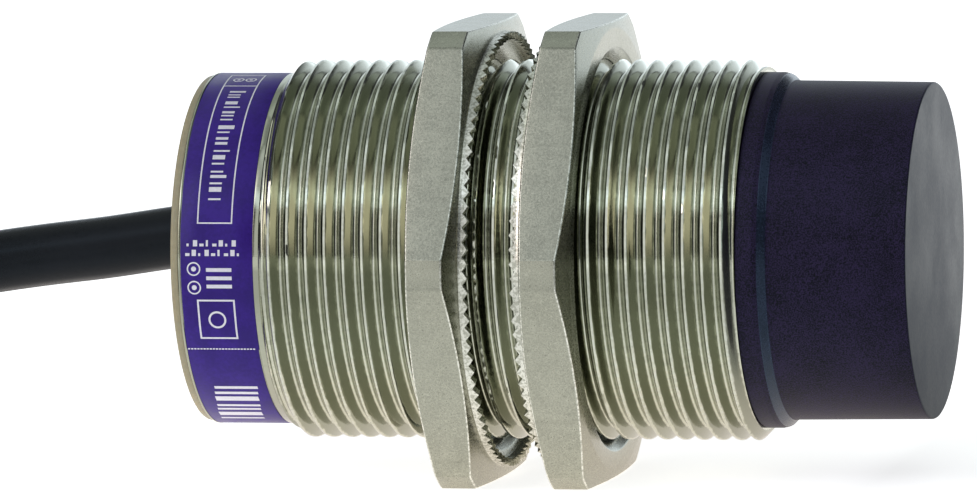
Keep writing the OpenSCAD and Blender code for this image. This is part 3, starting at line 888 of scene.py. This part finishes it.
def make_print():
    """Generic marks without lettering, as white print on the sleeve."""
    # the long cell, with two rings in its upper end and uneven strokes below them
    marks = frame_of(2.2, 5.04, 13.6, 84.5, 0.11)
    marks.append(bar(2.3, 4.94, 72.2, 72.65))
    for s in (3.15, 4.15):
        marks += [ring_of(s, 78.3, 0.46, 0.34), disc(s, 78.3, 0.14)]
    at = 68.4
    for i, (wide, gap) in enumerate(STROKES):
        marks.append(bar(3.0, 4.3 if i % 4 == 0 else 4.0, at - wide, at))
        at -= wide + gap
    # two rows of small strokes and dots
    for row, a in enumerate((7.3, 4.2)):
        for i in range(8 + row):
            s = 1.4 + i * 0.52 - row * 0.1
            wide, foot = 0.34 if (i + row) % 3 else 0.17, -1.0 if i % 2 else 0.1
            marks.append(bar(s, s + wide, a - 1.0, a - foot))
    # two ringed dots beside three bars, and a ring in a square
    for a in (-1.0, -7.1):
        marks += [ring_of(1.95, a, 0.55, 0.44), disc(1.95, a, 0.2)]
    marks += [bar(2.95, 5.0, a - 1.2, a) for a in (-0.7, -3.4, -6.1)]
    marks += frame_of(2.1, 5.15, -24.8, -11.1, 0.14)
    marks.append(ring_of(3.62, -18.0, 0.72, 0.56))
    # the seam's dotted line, and large strokes below it
    dots = np.arange(LABEL_REAR + 0.1, LABEL_FRONT - 0.25, 0.25)
    marks += [bar(s, s + 0.17, -28.9, -28.45) for s in dots]
    for i, (a, wide) in enumerate(LARGE_STROKES):
        marks.append(bar(2.35 - i * 0.11, 5.85 - i * 0.11, a - wide, a))
    verts, faces = [], []
    for v, f in marks:
        base = len(verts)
        verts += v
        faces += [tuple(base + q for q in g) for g in f]
    add_mesh("sleeve_print", verts, faces, "label_blue", sharp=60, material="label_print")


make_print()

# --- rear plug ----------------------------------------------------------------------------------

PLUG_R, PLUG_DEPTH, PLUG_DISH = 13.75, 6, 0.28


def make_plug(steps=96):
    """Plug with a rounded rim, a shallow dished face and a collar round the cable's hole."""
    phi = np.arange(steps) * TAU / steps
    hole = np.stack([-np.sin(phi), np.cos(phi)], 1)
    rise = (CABLE_EXIT[2] - AXIS_Z) / MM

    def row(r, s, cable_r=CABLE_R, share=0.0):
        """Circle about the sensor's axis, drawn over towards the cable's hole by a share."""
        p = hole * r * (1 - share) + (hole * cable_r + (0, rise)) * share
        return np.column_stack([np.full(steps, REAR + s * MM), p[:, 0] * MM, AXIS_Z + p[:, 1] * MM])

    rim = rounded([
        (BORE_R, PLUG_DEPTH), (BORE_R, PLUG_FRONT), (PLUG_R, PLUG_FRONT, 0.1), (PLUG_R, 0.0, 0.22),
        (12.4, 0.0, 0.2), (12.1, PLUG_DISH, 0.2), (11.0, PLUG_DISH)], 4)
    collar = [(3.6, 0.22), (3.45, 0.05), (3.3, 0.0), (2.75, 0.0), (2.56, 0.06), (2.52, 0.2),
              (2.52, PLUG_DEPTH)]
    rows = [row(r, s) for r, s in rim]
    rows += [row(11, PLUG_DISH, 3.9, t) for t in (0.3, 0.6, 0.9, 1.0)]
    rows += [row(0, s, r, 1.0) for r, s in collar]
    plug = add_mesh("rear_plug_moulded", np.concatenate(rows), ring_faces(len(rows), steps),
                    "plug_translucent", sharp=40)
    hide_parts("rear_plug")


make_plug()

# --- finishes of the carried-over parts ---------------------------------------------------------

SLOTS = {p["node"]: p["material_slot"] for p in frame["record"]["subparts"]}
for node, obj in frame["nodes"].items():
    obj.data.materials.clear()
    obj.data.materials.append(MATERIALS[SLOTS[node]])

# --- floor and light ----------------------------------------------------------------------------


def make_floor():
    """Plain pale floor. What the object mirrors of it is darker than what the camera sees, with painted
    light and a painted shadow in it.
    """
    mesh = bpy.data.meshes.new("floor")
    s = 6.0
    mesh.from_pydata([(-s, -s, 0), (s, -s, 0), (s, s, 0), (-s, s, 0)], [], [(0, 1, 2, 3)])
    mat = bpy.data.materials.new("floor_pale")
    mat.use_nodes = True
    n = Nodes(mat.node_tree)
    out = n.add("ShaderNodeOutputMaterial")
    where = n.add("ShaderNodeTexCoord").outputs["Object"]
    tone = n.mix(n.noise(where, 8.0), (0.84, 0.84, 0.84), (0.88, 0.88, 0.88))
    shader = n.add("ShaderNodeBsdfPrincipled", Roughness=0.9, Base_Color=tone)
    # mirrored, it carries painted light and shade: a painted pool of light under the object that darkens in
    # front of it, a painted shadow beside its cap, and slightly warm painted light below it
    x, y, _ = n.add("ShaderNodeSeparateXYZ", Vector=where).outputs
    front = n.math("MAXIMUM", n.between(y, -0.045, 0.0, 0.5, 1.13),
                   n.between(y, -0.09, -0.16, 0.0, 0.95))
    # painted shadow beside the cap
    cap_side_painted_shadow = n.math("MULTIPLY", n.between(x, 0.02, 0.04), n.between(y, 0.3, 0.02))
    mirrored = n.math("MULTIPLY", front, n.math("SUBTRACT", 1.0, n.math("MULTIPLY", cap_side_painted_shadow, 0.85)))
    ray = n.add("ShaderNodeLightPath").outputs["Is Camera Ray"]
    strength = n.math("MULTIPLY", n.math("MAXIMUM", ray, mirrored), 0.72)
    # painted warm light below the object
    painted_warm_light = n.math("MULTIPLY", n.between(y, -0.022, -0.004), n.between(y, 0.06, 0.025))
    painted_warm_light = n.math("MULTIPLY", painted_warm_light, n.math("SUBTRACT", 1.0, ray))
    n.put(shader, "Emission Color", n.mix(painted_warm_light, (1, 1, 1), (1, 0.9, 0.83)))
    n.put(shader, "Emission Strength", strength)
    n.put(shader, "Specular IOR Level", 0.0)
    n.tree.links.new(shader.outputs[0], out.inputs[0])
    mesh.materials.append(mat)
    floor = bpy.data.objects.new("floor", mesh)
    bpy.context.scene.collection.objects.link(floor)


# azimuth from -Y towards +X, half width, soft edge, lowest and highest elevation, soft edge, colour
PANELS = [
    (-21, 24, 18, 36, 62, 12, (0.65, 0.68, 0.71)),
    (-24, 26, 10, 34, 38, 6, (0.7, 0.8, 0.9)),
    (-48, 10, 8, 18, 26, 30, (3.1, 2.75, 2.7)),
    (-14, 8, 6, -4, 24, 12, (0.85, 0.85, 0.85)),
    (40, 20, 10, 34, 52, 10, (0.9, 0.98, 1.0)),
    (92, 8, 8, 0, 34, 8, (0.36, 0.44, 0.46)),
    (193, 12, 10, -20, 30, 16, (0.84, 0.93, 1.0)),
    (161, 15, 10, -20, 7, 13, (1.04, 1.15, 1.24)),
    (-148, 20, 8, 48, 66, 14, (0.36, 0.4, 0.38)),
    (-92, 23, 10, 46, 60, 12, (0.74, 0.76, 0.7)),
    (0, 180, 1, 68, 90, 14, (0.33, 0.36, 0.36)),
]
ROOM = (0.05, 0.053, 0.056)


def make_light():
    """Soft studio: a dim room with broad light panels, and plain white where the camera sees it."""
    world = bpy.data.worlds.new("studio")
    bpy.context.scene.world = world
    world.use_nodes = True
    n = Nodes(world.node_tree)
    out = n.add("ShaderNodeOutputWorld")
    way = n.add("ShaderNodeTexCoord").outputs["Generated"]
    x, y, z = n.add("ShaderNodeSeparateXYZ", Vector=way).outputs
    turn = n.math("ARCTAN2", x, n.math("MULTIPLY", y, -1.0))
    around = n.math("MULTIPLY", turn, 180 / math.pi)
    height = n.math("MULTIPLY", n.math("ARCSINE", z), 180 / math.pi)
    total = ROOM
    for az, wide, soft, low, high, blur, colour in PANELS:
        off = n.add("ShaderNodeMath", {"operation": "WRAP"})
        for i, v in enumerate((n.math("SUBTRACT", around, az), 180.0, -180.0)):
            n.put(off, str(i), v)
        across = n.between(n.math("ABSOLUTE", off.outputs[0]), wide + soft, wide)
        rise = n.math("MULTIPLY", n.between(height, low - blur, low),
                      n.between(height, high + blur, high))
        more = n.add("ShaderNodeVectorMath", {"operation": "MULTIPLY_ADD"})
        n.put(more, "0", n.math("MULTIPLY", across, rise))
        more.inputs[1].default_value = colour
        n.put(more, "2", total)
        total = more.outputs[0]
    lit = n.add("ShaderNodeBackground", Color=total, Strength=1.0)
    seen = n.add("ShaderNodeBackground", Color=(1, 1, 1, 1), Strength=1.0)
    ray = n.add("ShaderNodeLightPath").outputs["Is Camera Ray"]
    mixed = n.add("ShaderNodeMixShader")
    n.put(mixed, "0", ray)
    n.tree.links.new(lit.outputs[0], mixed.inputs[1])
    n.tree.links.new(seen.outputs[0], mixed.inputs[2])
    n.tree.links.new(mixed.outputs[0], out.inputs[0])


make_floor()
make_light()
bpy.context.scene.view_settings.view_transform = "Standard"
